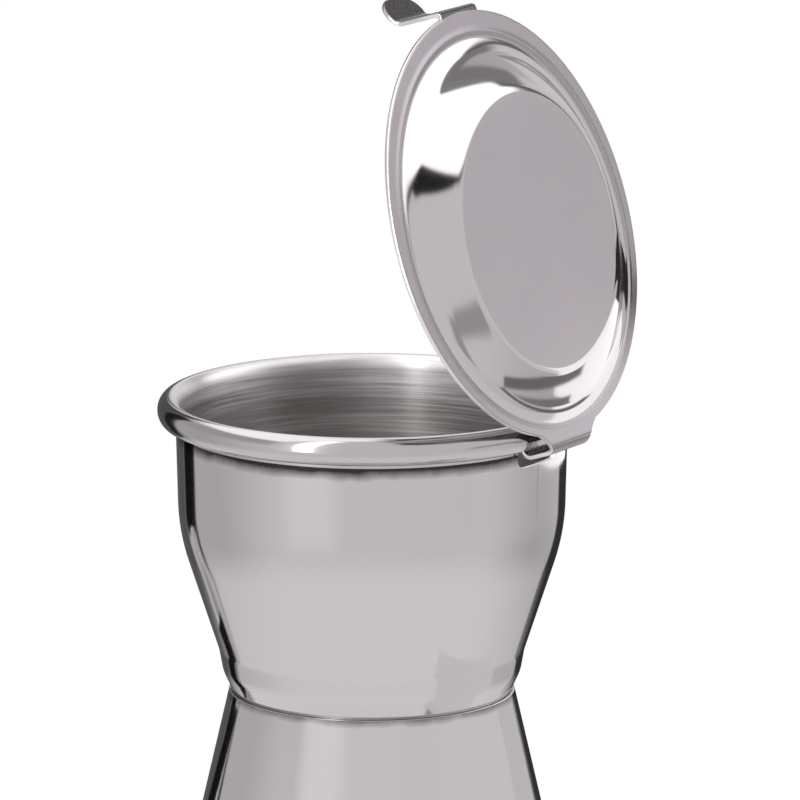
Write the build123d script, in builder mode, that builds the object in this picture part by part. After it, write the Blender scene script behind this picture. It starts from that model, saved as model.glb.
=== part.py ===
from build123d import *

import os
from math import atan, cos, degrees, radians, sin, sqrt

os.makedirs("parts", exist_ok=True)

# Stainless steel oil cruet, in millimetres. The origin is the centre of the base, with Z up.
# The hinge and the handle are on the +X side, the spout is on the -X side.

# Sheet thicknesses and the clearances between pieces
body_sheet = 0.6
lid_sheet = 0.65
solder_gap = 0.05
lid_gap = 0.25

# Conical body
cone_height = 123.0
neck_radius = 20.8
foot_radius = 49.2
seam_width = 3.0
seam_bend = 1.0

# Base plate, folded round the flange of the cone
groove_radius = 34.0
groove_width = 8.0
groove_rise = 1.2
groove_slope = 1.8
hem_gap = 0.1
hem_bend = 0.5

# Mouth cup, from the neck up to the middle of its rolled rim
cup_height = 41.5
rim_wall_radius = 28.5
shoulder_radius = 28.04
shoulder_drop = 18.0
shoulder_bend = 30.0
waist_radius = 22.28
waist_rise = 6.1
tuck_radius = 21.7
tuck_rise = 2.9
waist_bend = 6.0
seat_radius = 20.35
spigot_length = 4.2
bead_width = 3.2
bead_height = 4.1
roll_slit = 0.25

# Hinge: the bead is notched, and a wire inside it carries the curled tongue of the lid
notch_width = 13.6
slot_width = 10.8
slot_depth = 4.9
slot_corner = 1.4
pin_grip = 6.0
hinge_offset = 0.9
tongue_width = 10.2
tongue_root_bend = 1.5
curl_turn = 265.0
open_angle = 72.5

# Lid
lid_radius = 31.2
flange_width = 3.0
dome_height = 4.0
crease_angle = 22.0
crease_bend = 1.0
wall_angle = 38.0
dome_foot_bend = 2.0

# Thumb tab, folded down outside the bead and flared outward
tab_width = 10.0
tab_gap = 0.2
tab_drop = 7.85
tab_bend = 0.5
paddle_tilt = 32.4
paddle_length = 6.5
paddle_width = 8.75
paddle_reach = 1.45

# Spout, a tapered tube on the side away from the hinge
spout_root_height = 27.0
spout_root_radius = 8.0
spout_tip_radius = 3.4
spout_sheet = 0.6
spout_pitch = 24.0
spout_stub = 4.0
spout_run = 32.0
spout_middle_reach = 72.0
spout_middle_height = 98.0
spout_shoulder_reach = 88.0
spout_shoulder_height = 138.0
spout_tip_reach = 112.0
spout_tip_height = 150.0
station_count = 16

# Collar soldered round the root of the spout
collar_radius = 12.5
collar_sheet = 0.8

# Handle, a crowned strap with a pad at each end
handle_width = 15.0
handle_sheet = 1.2
handle_crown = 1.4
handle_top = 100.0
handle_bottom = 34.0
handle_shoulder_reach = 66.0
handle_shoulder_height = 116.0
handle_middle_reach = 72.0
handle_middle_height = 74.0
handle_lower_reach = 58.0
handle_lower_height = 28.0
pad_length = 18.0
pad_overlap = 4.0
pad_corner = 6.5
pad_sheet = 1.0

cone_slope = (foot_radius - neck_radius) / cone_height
cone_wall = body_sheet / cos(atan(cone_slope))


def cone_radius(height):
    """Outside radius of the cone at a height above the base."""
    return foot_radius - cone_slope * height


def cone_layer(inner, outer, low, high):
    """A layer that follows the cone, from one distance outside its surface to another."""
    with BuildPart() as layer:
        with BuildSketch(Plane.XZ):
            Polygon(
                (cone_radius(low) + inner, low),
                (cone_radius(low) + outer, low),
                (cone_radius(high) + outer, high),
                (cone_radius(high) + inner, high),
                align=None,
            )
        revolve(axis=Axis.Z)
    return layer.part


def cone_core(distance):
    """The solid cone up to a distance outside its surface."""
    with BuildPart() as core:
        with BuildSketch(Plane.XZ):
            Polygon(
                (0, 0),
                (cone_radius(0) + distance, 0),
                (cone_radius(cone_height) + distance, cone_height),
                (0, cone_height),
                align=None,
            )
        revolve(axis=Axis.Z)
    return core.part


# Conical body, with a flange turned out at its foot and a hole for the spout
flange_top = 2 * body_sheet
root_radius = cone_radius(spout_root_height)
root_tangent = Vector(-cos(radians(spout_pitch)), 0, sin(radians(spout_pitch)))
root_point = Vector(-root_radius, 0, spout_root_height)
root_plane = Plane(origin=root_point, x_dir=(0, 1, 0), z_dir=root_tangent)

with BuildPart() as cone_body:
    with BuildSketch(Plane.XZ):
        with BuildLine():
            FilletPolyline(
                (foot_radius + seam_width, flange_top),
                (cone_radius(flange_top), flange_top),
                (neck_radius, cone_height),
                radius=seam_bend,
            )
            offset(amount=body_sheet, side=Side.LEFT)
        make_face()
    revolve(axis=Axis.Z)
    with BuildSketch(root_plane):
        Circle(spout_root_radius + solder_gap)
    extrude(amount=spout_root_radius, both=True, mode=Mode.SUBTRACT)

cone_body.part.label = "cone_body"
export_step(cone_body.part, "parts/cone_body.step")

# Base plate: flat to stand on, with a pressed stiffening ring and a hem folded over the flange
base_radius = foot_radius + seam_width + body_sheet
hem_height = 3 * body_sheet
hem_radius = foot_radius + seam_bend + hem_gap
groove_points = [
    (groove_radius - groove_width / 2 - groove_slope, 0),
    (groove_radius - groove_width / 2, groove_rise),
    (groove_radius + groove_width / 2, groove_rise),
    (groove_radius + groove_width / 2 + groove_slope, 0),
]

with BuildPart() as base_plate:
    with BuildSketch(Plane.XZ):
        Polygon(
            (0, 0),
            (base_radius, 0),
            (base_radius, hem_height),
            (hem_radius, hem_height),
            (hem_radius, 2 * body_sheet),
            (base_radius - body_sheet, 2 * body_sheet),
            (base_radius - body_sheet, body_sheet),
            (0, body_sheet),
            align=None,
        )
    revolve(axis=Axis.Z)
    outer_edges = base_plate.edges().filter_by(GeomType.CIRCLE).group_by(SortBy.RADIUS)[-1]
    fillet(outer_edges, hem_bend)
    # The sheet is cut out where the ring goes, and the ring is put back at one thickness
    with BuildSketch(Plane.XZ):
        with BuildLine():
            Polyline(*groove_points, close=True)
        make_face()
    revolve(axis=Axis.Z, mode=Mode.SUBTRACT)
    with BuildSketch(Plane.XZ):
        with BuildLine():
            Polyline(*groove_points)
            offset(amount=body_sheet, side=Side.LEFT)
        make_face()
    revolve(axis=Axis.Z)

base_plate.part.label = "base_plate"
export_step(base_plate.part, "parts/base_plate.step")

# Mouth cup: the sheet profile from the spigot in the neck up to the rolled rim
seam_height = cone_height
rim_height = cone_height + cup_height
spigot_radius = neck_radius - cone_wall - solder_gap
bead_centre = rim_wall_radius - body_sheet + bead_width / 2
bead_radius = bead_centre + bead_width / 2

with BuildPart() as mouth_cup:
    with BuildSketch(Plane.XZ):
        with Locations((bead_centre, rim_height)):
            Ellipse(bead_width / 2, bead_height / 2)
            Ellipse(bead_width / 2 - body_sheet, bead_height / 2 - body_sheet, mode=Mode.SUBTRACT)
        with Locations((rim_wall_radius + roll_slit, rim_height)):
            Rectangle(bead_width, bead_height, align=(Align.MAX, Align.MAX), mode=Mode.SUBTRACT)
        with BuildLine():
            FilletPolyline(
                (seat_radius, seam_height),
                (tuck_radius, seam_height + tuck_rise),
                (waist_radius, seam_height + waist_rise),
                (shoulder_radius, rim_height - shoulder_drop),
                (rim_wall_radius, rim_height),
                radius=[waist_bend, waist_bend, shoulder_bend],
            )
            offset(amount=body_sheet, side=Side.LEFT)
        make_face()
        with Locations((spigot_radius - body_sheet, seam_height)):
            Rectangle(seat_radius - spigot_radius + body_sheet, body_sheet, align=Align.MIN)
            Rectangle(body_sheet, spigot_length, align=(Align.MIN, Align.MAX))
    revolve(axis=Axis.Z)
    with BuildSketch(Plane.YZ.offset(spigot_radius)):
        with Locations((0, rim_height - slot_depth)):
            slot = Rectangle(slot_width, slot_depth, align=(Align.CENTER, Align.MIN))
        fillet(slot.vertices().group_by(Axis.Y)[0], slot_corner)
        with Locations((0, rim_height - bead_height / 2)):
            Rectangle(notch_width, bead_height + lid_gap, align=(Align.CENTER, Align.MIN))
    extrude(amount=bead_radius, mode=Mode.SUBTRACT)

mouth_cup.part.label = "mouth_cup"
export_step(mouth_cup.part, "parts/mouth_cup.step")

# Hinge pin: a short wire bent to the curve of the rim, with its ends inside the roll
pin_radius = bead_width / 2 - body_sheet - solder_gap
pin_half_angle = degrees((notch_width / 2 + pin_grip) / bead_centre)

with BuildPart() as hinge_pin:
    with BuildSketch(Plane.XZ.rotated((0, 0, -pin_half_angle))):
        with Locations((bead_centre, rim_height)):
            Circle(pin_radius)
    revolve(axis=Axis.Z, revolution_arc=2 * pin_half_angle)

hinge_pin.part.label = "hinge_pin"
export_step(hinge_pin.part, "parts/hinge_pin.step")

# Lid, in its own frame: the origin is on the hinge axis, X points away from the lid's centre
# and Z is the lid's upward normal, so with the lid closed the frame is parallel to the cruet's.
axis_radius = bead_centre + hinge_offset
swing = radians(open_angle)
lid_plane = Plane(
    origin=(axis_radius, 0, rim_height),
    x_dir=(cos(swing), 0, -sin(swing)),
    z_dir=(sin(swing), 0, cos(swing)),
)
lid_side = Plane(origin=lid_plane.origin, x_dir=lid_plane.x_dir, z_dir=-lid_plane.y_dir)
lid_axis = Axis(lid_plane.from_local_coords((-axis_radius, 0, 0)), lid_plane.z_dir)
plate_low = bead_height / 2 + lid_gap
plate_top = plate_low + lid_sheet
flange_inner = lid_radius - flange_width
crease = radians(crease_angle)
steep = radians(wall_angle)
wall_bend = (
    dome_height - dome_foot_bend * (1 - cos(steep)) - crease_bend * (1 - cos(crease))
) / (cos(crease) - cos(steep))
disc_radius = (
    flange_inner
    - dome_foot_bend * sin(steep)
    - wall_bend * (sin(steep) - sin(crease))
    - crease_bend * sin(crease)
)
tongue_half = tongue_width / 2
root_half = tongue_half + tongue_root_bend
root_edge = sqrt(lid_radius**2 - root_half**2) - axis_radius
tab_inner = bead_radius + tab_gap
tab_middle = tab_inner + lid_sheet / 2
plate_middle = plate_low + lid_sheet / 2
flare = radians(paddle_tilt)
paddle_neck = paddle_width / 2 * sqrt(1 - (2 * paddle_reach / paddle_length) ** 2)
tab_front = Plane(
    origin=lid_plane.from_local_coords((-axis_radius - tab_middle, 0, 0)),
    x_dir=lid_plane.y_dir,
    z_dir=lid_plane.x_dir,
)
paddle_plane = Plane(
    origin=lid_plane.from_local_coords((-axis_radius - tab_middle, 0, plate_middle - tab_drop)),
    x_dir=lid_plane.y_dir,
    z_dir=lid_plane.z_dir * cos(flare) - lid_plane.x_dir * sin(flare),
)

with BuildPart() as lid:
    # Domed disc with its flat flange
    with BuildSketch(lid_side):
        with BuildLine():
            disc = Line(
                (-axis_radius, plate_top + dome_height),
                (disc_radius - axis_radius, plate_top + dome_height),
            )
            rim_crease = JernArc(disc @ 1, disc % 1, crease_bend, -crease_angle)
            wall = JernArc(rim_crease @ 1, rim_crease % 1, wall_bend, crease_angle - wall_angle)
            foot = JernArc(wall @ 1, wall % 1, dome_foot_bend, wall_angle)
            Line(foot @ 1, (lid_radius - axis_radius, plate_top))
            offset(amount=lid_sheet, side=Side.RIGHT)
        make_face()
    revolve(axis=lid_axis)
    # The tongue bends down out of the flange and curls round the pin, with rounded corners at its root
    with BuildSketch(lid_plane.offset(plate_low - lid_sheet)):
        Rectangle(lid_radius, 2 * root_half, align=(Align.MIN, Align.CENTER))
    extrude(amount=3 * lid_sheet, mode=Mode.SUBTRACT)
    with BuildSketch(lid_side):
        Circle(plate_top)
        Circle(plate_low, mode=Mode.SUBTRACT)
        Rectangle(plate_top, 2 * plate_top, align=(Align.MAX, Align.CENTER), mode=Mode.SUBTRACT)
        Rectangle(plate_top, plate_top, align=(Align.MIN, Align.MAX), mode=Mode.SUBTRACT)
    extrude(amount=root_half, both=True)
    with BuildSketch(lid_plane):
        with Locations((root_edge, tongue_half)):
            Rectangle(plate_top, root_half, align=Align.MIN)
        with Locations((root_edge, -tongue_half)):
            Rectangle(plate_top, root_half, align=(Align.MIN, Align.MAX))
        root_corners = vertices().group_by(Axis.X)[0].sort_by(Axis.Y)[1:3]
        fillet(root_corners, tongue_root_bend)
    extrude(amount=plate_top + lid_sheet, mode=Mode.SUBTRACT)
    with BuildSketch(lid_side):
        with BuildLine():
            CenterArc((0, 0), plate_middle, 0, 90 - curl_turn)
            offset(amount=lid_sheet / 2)
        make_face()
    extrude(amount=tongue_half, both=True)

    # Thumb tab: the fold and the drop outside the bead, narrowed towards the flared paddle
    with BuildSketch(lid_side):
        with BuildLine():
            FilletPolyline(
                (-axis_radius - lid_radius + 2 * tab_bend, plate_middle),
                (-axis_radius - tab_middle, plate_middle),
                (-axis_radius - tab_middle, plate_middle - tab_drop),
                radius=tab_bend + lid_sheet / 2,
            )
            offset(amount=lid_sheet / 2)
        make_face()
    extrude(amount=tab_width / 2, both=True)
    with BuildSketch(tab_front):
        for side in (1, -1):
            Polygon(
                (side * tab_width / 2, plate_low - lid_sheet),
                (side * tab_width, plate_low - lid_sheet),
                (side * tab_width, plate_low - tab_drop - lid_sheet),
                (side * paddle_neck, plate_low - tab_drop - lid_sheet),
                (side * paddle_neck, plate_middle - tab_drop),
                align=None,
            )
    extrude(amount=axis_radius / 2, both=True, mode=Mode.SUBTRACT)
    with BuildSketch(paddle_plane):
        with Locations((0, paddle_reach)):
            Ellipse(paddle_width / 2, paddle_length / 2)
        Rectangle(paddle_width, paddle_length, align=(Align.CENTER, Align.MAX), mode=Mode.SUBTRACT)
    extrude(amount=lid_sheet / 2, both=True)

lid.part.label = "lid"
export_step(lid.part, "parts/lid.step")

# Spout: a straight root through the wall of the cone, then circles along a swan-neck path
with BuildLine() as spout_path:
    Bezier(
        root_point + root_tangent * spout_stub,
        root_point + root_tangent * spout_run,
        (-spout_middle_reach, 0, spout_middle_height),
        (-spout_shoulder_reach, 0, spout_shoulder_height),
        (-spout_tip_reach, 0, spout_tip_height),
    )
spout_line = spout_path.wire()
body_inside = cone_core(-cone_wall)

with BuildPart() as spout_tube:
    for sheet, mode in ((0, Mode.ADD), (spout_sheet, Mode.SUBTRACT)):
        for station in range(station_count + 1):
            share = station / station_count
            tube_radius = spout_root_radius + (spout_tip_radius - spout_root_radius) * share
            with BuildSketch(Plane(spout_line @ share, x_dir=(0, 1, 0), z_dir=spout_line % share)):
                Circle(tube_radius - sheet)
        loft(mode=mode)
        with BuildSketch(root_plane.offset(spout_stub)):
            Circle(spout_root_radius - sheet)
        extrude(amount=-spout_stub - spout_root_radius, mode=mode)
    add(body_inside, mode=Mode.SUBTRACT)

spout_tube.part.label = "spout_tube"
export_step(spout_tube.part, "parts/spout_tube.step")

# Collar round the root of the spout, following the cone
collar_layer = cone_layer(solder_gap, collar_sheet, 0, spout_root_height + 2 * collar_radius)

with BuildPart() as spout_collar:
    add(collar_layer)
    with BuildSketch(root_plane):
        Circle(collar_radius)
        Circle(spout_root_radius + solder_gap, mode=Mode.SUBTRACT)
    extrude(amount=collar_radius, both=True, mode=Mode.INTERSECT)

spout_collar.part.label = "spout_collar"
export_step(spout_collar.part, "parts/spout_collar.step")

# Handle: a crowned strap swept round its path, trimmed by the cone and welded to two pads
pad_layer = cone_layer(solder_gap, pad_sheet, handle_bottom - 2 * pad_length, handle_top + pad_length)
body_outside = cone_core(solder_gap)

with BuildPart() as handle_pads:
    add(pad_layer)
    with BuildSketch(Plane.YZ):
        for height in (handle_top, handle_bottom):
            with Locations((0, height + pad_overlap - pad_length / 2)):
                RectangleRounded(handle_width, pad_length, pad_corner)
    extrude(amount=foot_radius, mode=Mode.INTERSECT)

with BuildPart() as handle:
    with BuildLine() as strap_path:
        Bezier(
            (cone_radius(handle_top) - handle_sheet, 0, handle_top),
            (handle_shoulder_reach, 0, handle_shoulder_height),
            (handle_middle_reach, 0, handle_middle_height),
            (handle_lower_reach, 0, handle_lower_height),
            (cone_radius(handle_bottom) - handle_sheet, 0, handle_bottom),
        )
    strap_line = strap_path.wire()
    with BuildSketch(Plane(strap_line @ 0, x_dir=(0, 1, 0), z_dir=strap_line % 0)):
        with BuildLine():
            ThreePointArc(
                (-handle_width / 2 + handle_sheet / 2, -handle_crown),
                (0, 0),
                (handle_width / 2 - handle_sheet / 2, -handle_crown),
            )
            offset(amount=handle_sheet / 2)
        make_face()
    sweep(path=strap_line)
    add(body_outside, mode=Mode.SUBTRACT)
    add(handle_pads.part)

handle.part.label = "handle"
export_step(handle.part, "parts/handle.step")
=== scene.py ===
import math

import bmesh
import bpy
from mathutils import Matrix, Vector


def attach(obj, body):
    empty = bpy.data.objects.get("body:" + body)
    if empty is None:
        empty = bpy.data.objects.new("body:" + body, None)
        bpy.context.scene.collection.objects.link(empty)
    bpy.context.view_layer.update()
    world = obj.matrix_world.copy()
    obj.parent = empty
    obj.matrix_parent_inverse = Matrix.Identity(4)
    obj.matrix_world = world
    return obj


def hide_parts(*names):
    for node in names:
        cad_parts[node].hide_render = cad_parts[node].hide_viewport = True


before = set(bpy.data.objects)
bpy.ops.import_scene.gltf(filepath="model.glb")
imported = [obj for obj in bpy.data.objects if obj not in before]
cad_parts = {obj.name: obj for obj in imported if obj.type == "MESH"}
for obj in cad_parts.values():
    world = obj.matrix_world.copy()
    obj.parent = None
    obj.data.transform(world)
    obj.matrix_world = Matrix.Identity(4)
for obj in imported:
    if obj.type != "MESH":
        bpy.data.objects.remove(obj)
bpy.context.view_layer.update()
scene = bpy.context.scene
print("frame loaded:", ", ".join(sorted(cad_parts)))

mm = 0.001  # every size below is in millimetres

camera = {
    "azimuth": 31.4,
    "elevation": 12.05,
    "distance": 1450,
    "aim": (3.5, 2.14, 165.76),
    "lens": 450,
    "sensor": 36,
}


def placeObject(name, data):
    thing = bpy.data.objects.new(name, data)
    scene.collection.objects.link(thing)
    return thing


def makeCamera():
    turn = math.radians(camera["azimuth"])
    tilt = math.radians(camera["elevation"])
    back = Vector((math.sin(turn) * math.cos(tilt), -math.cos(turn) * math.cos(tilt), math.sin(tilt)))
    lens = bpy.data.cameras.new("photoCamera")
    lens.lens = camera["lens"]
    lens.sensor_width = camera["sensor"]
    lens.clip_end = 100
    eye = placeObject("photoCamera", lens)
    eye.location = (Vector(camera["aim"]) + back * camera["distance"]) * mm
    eye.rotation_euler = (-back).to_track_quat("-Z", "Y").to_euler()
    scene.camera = eye


makeCamera()
scene.view_settings.view_transform = "Standard"
print("camera set")


# nodes and colours
def hexColour(text):  # an sRGB hex value as Blender's linear colour
    shares = [int(text[i:i + 2], 16) / 255 for i in (1, 3, 5)]
    return [s / 12.92 if s <= 0.04045 else ((s + 0.055) / 1.055) ** 2.4 for s in shares] + [1]


def addNode(tree, kind, inputs=None, **settings):  # an input is a value, a socket or a node's first output
    node = tree.nodes.new(kind)
    for name, value in settings.items():
        setattr(node, name, value)
    for socket, value in (inputs or {}).items():
        if isinstance(value, bpy.types.Node):
            value = value.outputs[0]
        if isinstance(value, bpy.types.NodeSocket):
            tree.links.new(value, node.inputs[socket])
        else:
            node.inputs[socket].default_value = value
    return node


def newMaterial(name):
    material = bpy.data.materials.new(name)
    material.use_nodes = True
    material.node_tree.nodes.clear()
    return material, material.node_tree


# flat outlines, in mm
def roundedPath(corners, bends, turn=4):  # a polyline with its inner corners rounded
    path = [Vector(corners[0])]
    for before, here, after, bend in zip(corners, corners[1:], corners[2:], bends):
        here = Vector(here)
        one = (Vector(before) - here).normalized()
        two = (Vector(after) - here).normalized()
        half = math.acos(max(-1, min(1, one.dot(two)))) / 2
        centre = here + (one + two).normalized() * bend / math.sin(half)
        start = here + one * bend / math.tan(half) - centre
        end = here + two * bend / math.tan(half) - centre
        first = math.atan2(start.y, start.x)
        sweep = (math.atan2(end.y, end.x) - first + math.pi) % (2 * math.pi) - math.pi
        steps = max(2, math.ceil(abs(math.degrees(sweep)) / turn))
        for step in range(steps + 1):
            angle = first + sweep * step / steps
            path.append(centre + bend * Vector((math.cos(angle), math.sin(angle))))
    return path + [Vector(corners[-1])]


def ellipsePath(centre, wide, high, first, last, steps):  # angles in degrees
    angles = [math.radians(first + (last - first) * step / steps) for step in range(steps + 1)]
    return [Vector((centre[0] + wide * math.cos(a), centre[1] + high * math.sin(a))) for a in angles]


def thinned(path, gap=0.02):
    kept = [path[0]]
    for point in path[1:]:
        if (point - kept[-1]).length > gap:
            kept.append(point)
    return kept


def divided(path, longest):  # long straight runs get points of their own
    points = [path[0]]
    for point in path[1:]:
        steps = max(1, math.ceil((point - points[-1]).length / longest))
        start = points[-1]
        points += [start.lerp(point, step / steps) for step in range(1, steps + 1)]
    return points


def sheetOutline(path, sheet, ease, endEase=None):  # the closed outline of a sheet on the right of its path
    path = thinned(path)
    endEase = ease if endEase is None else endEase
    front, back = [], []
    for i, point in enumerate(path):
        before = (point - path[i - 1]).normalized() if i else None
        after = (path[i + 1] - point).normalized() if i + 1 < len(path) else None
        along = ((before or after) + (after or before)).normalized()
        side = Vector((along.y, -along.x)) / max(0.5, along.dot(after or before))
        front.append(point)
        back.append(point + side * sheet)
    first = (path[1] - path[0]).normalized()
    last = (path[-1] - path[-2]).normalized()
    across = (back[0] - front[0]).normalized()
    acrossEnd = (back[-1] - front[-1]).normalized()
    outline = [front[0] + across * ease, front[0] + first * ease] if ease else [front[0]]
    outline += front[1:-1]
    outline += [front[-1] - last * endEase, front[-1] + acrossEnd * endEase] if endEase else [front[-1]]
    outline += [back[-1] - acrossEnd * endEase, back[-1] - last * endEase] if endEase else [back[-1]]
    outline += back[-2:0:-1]
    outline += [back[0] + first * ease, back[0] - across * ease] if ease else [back[0]]
    return outline


# meshes
def sharpenEdges(mesh, limit=40):  # smooth shading, with edges sharper than the limit left crisp
    work = bmesh.new()
    work.from_mesh(mesh)
    for face in work.faces:
        face.smooth = True
    for edge in work.edges:
        edge.smooth = len(edge.link_faces) == 2 and edge.calc_face_angle(0) < math.radians(limit)
    work.to_mesh(mesh)
    work.free()


def weldMesh(mesh, near=1e-6, thin=1e-7, faceOut=True):
    work = bmesh.new()
    work.from_mesh(mesh)
    bmesh.ops.remove_doubles(work, verts=work.verts, dist=near)
    bmesh.ops.dissolve_degenerate(work, edges=work.edges, dist=thin)
    if faceOut:
        bmesh.ops.recalc_face_normals(work, faces=work.faces)
    work.to_mesh(mesh)
    work.free()


def makePiece(name, points, faces):  # points in mm
    mesh = bpy.data.meshes.new(name)
    mesh.from_pydata([Vector(p) * mm for p in points], [], faces)
    weldMesh(mesh)
    sharpenEdges(mesh)
    return placeObject(name, mesh)


def useModifiers(piece):  # the modifiers' result becomes the piece's own mesh
    bpy.context.view_layer.update()
    done = bpy.data.meshes.new_from_object(piece.evaluated_get(bpy.context.evaluated_depsgraph_get()))
    piece.modifiers.clear()
    piece.data = done


def cutAway(piece, cutter):
    change = piece.modifiers.new("cut", "BOOLEAN")
    change.operation = "DIFFERENCE"
    change.solver = "EXACT"
    change.object = cutter
    useModifiers(piece)
    bpy.data.objects.remove(cutter)
    weldMesh(piece.data, 2e-6, 1e-6, False)
    sharpenEdges(piece.data)


def joinEnds(name, first, last):  # a closed solid between two outlines of as many points
    count = len(first)
    faces = [list(range(count)), list(range(2 * count - 1, count - 1, -1))]
    faces += [(i, (i + 1) % count, (i + 1) % count + count, i + count) for i in range(count)]
    return makePiece(name, first + last, faces)


def prism(name, outline, low, high):  # an outline of y and z pushed along the X axis
    return joinEnds(name, [(low, *p) for p in outline], [(high, *p) for p in outline])


def newTree(name, sockets):
    tree = bpy.data.node_groups.new(name, "GeometryNodeTree")
    tree.interface.new_socket("Geometry", in_out="INPUT", socket_type="NodeSocketGeometry")
    for label, kind in sockets:
        tree.interface.new_socket(label, in_out="INPUT", socket_type="NodeSocket" + kind)
    tree.interface.new_socket("Geometry", in_out="OUTPUT", socket_type="NodeSocketGeometry")
    return tree, tree.nodes.new("NodeGroupInput")


def endTree(tree, geometry, material):  # every tree ends in real faces of one material
    real = addNode(tree, "GeometryNodeRealizeInstances", {0: geometry})
    painted = addNode(tree, "GeometryNodeSetMaterial", {0: real, 2: material})
    addNode(tree, "NodeGroupOutput", {0: painted})


def startGrid(tree, columns, rows):  # a grid of cells, with each point's shares across and down it
    counts = [addNode(tree, "ShaderNodeMath", {0: cells, 1: 1}, operation="ADD") for cells in (columns, rows)]
    grid = addNode(tree, "GeometryNodeMeshGrid", {0: 1, 1: 1, 2: counts[0], 3: counts[1]})
    where = addNode(tree, "ShaderNodeSeparateXYZ", {0: addNode(tree, "GeometryNodeInputPosition")})
    return grid, [
        addNode(tree, "ShaderNodeMath", {0: where.outputs[axis], 1: 0.5}, operation="ADD") for axis in (0, 1)
    ]


def pointIndex(tree, share, cells, around):  # the index of the point at a share, starting again at the end
    cell = addNode(tree, "ShaderNodeMath", {0: share, 1: cells}, operation="MULTIPLY")
    whole = addNode(tree, "ShaderNodeMath", {0: cell}, operation="ROUND")
    return addNode(tree, "ShaderNodeMath", {0: whole, 1: around}, operation="MODULO")


def growPiece(name, points, tree, values, attributes=()):  # runs a tree once and keeps its plain mesh
    start = bpy.data.meshes.new(name + "Points")
    start.from_pydata(points, [], [])
    for label, kind, field, numbers in attributes:
        start.attributes.new(label, kind, "POINT")
        for i, value in enumerate(numbers):
            setattr(start.attributes[label].data[i], field, value)
    source = placeObject(name + "Points", start)
    modifier = source.modifiers.new(tree.name, "NODES")
    modifier.node_group = tree
    for item in tree.interface.items_tree:
        if item.in_out == "INPUT" and item.name in values:
            modifier[item.identifier] = values[item.name]
    bpy.context.view_layer.update()
    mesh = bpy.data.meshes.new_from_object(source.evaluated_get(bpy.context.evaluated_depsgraph_get()))
    source.modifiers.remove(modifier)
    bpy.data.objects.remove(source)
    weldMesh(mesh)
    sharpenEdges(mesh)
    return placeObject(name, mesh)


def settlePiece(piece, body, slot, *nodes):
    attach(piece, body)
    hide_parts(*nodes)
    print(piece.name, "done,", len(piece.data.polygons), "faces")


# turned pieces: an outline of radius and height is turned round the Z axis
def turningTree():
    tree, given = newTree("turnedSheet", [("Segments", "Int"), ("Material", "Material")])
    size = addNode(tree, "GeometryNodeAttributeDomainSize", {0: given}, component="MESH")
    grid, (across, down) = startGrid(tree, given.outputs["Segments"], size)
    angle = addNode(tree, "ShaderNodeMath", {0: across, 1: math.tau}, operation="MULTIPLY")
    place = addNode(tree, "GeometryNodeInputPosition")
    inputs = {"Geometry": given.outputs[0], "Value": place, "Index": pointIndex(tree, down, size, size)}
    outline = addNode(tree, "GeometryNodeSampleIndex", inputs, data_type="FLOAT_VECTOR", domain="POINT")
    found = addNode(tree, "ShaderNodeSeparateXYZ", {0: outline})
    cosine = addNode(tree, "ShaderNodeMath", {0: angle}, operation="COSINE")
    sine = addNode(tree, "ShaderNodeMath", {0: angle}, operation="SINE")
    east = addNode(tree, "ShaderNodeMath", {0: found.outputs[0], 1: cosine}, operation="MULTIPLY")
    north = addNode(tree, "ShaderNodeMath", {0: found.outputs[0], 1: sine}, operation="MULTIPLY")
    turned = addNode(tree, "ShaderNodeCombineXYZ", {0: east, 1: north, 2: found.outputs[2]})
    moved = addNode(tree, "GeometryNodeSetPosition", {0: grid, 2: turned})
    closed = addNode(tree, "GeometryNodeMergeByDistance", {0: moved, 2: 1e-6})
    endTree(tree, closed, given.outputs["Material"])
    return tree


turnedSheet = turningTree()


def turnPiece(name, outline, segments, material):
    points = [(p[0] * mm, 0, p[1] * mm) for p in outline]
    return growPiece(name, points, turnedSheet, {"Segments": segments, "Material": material})


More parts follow.
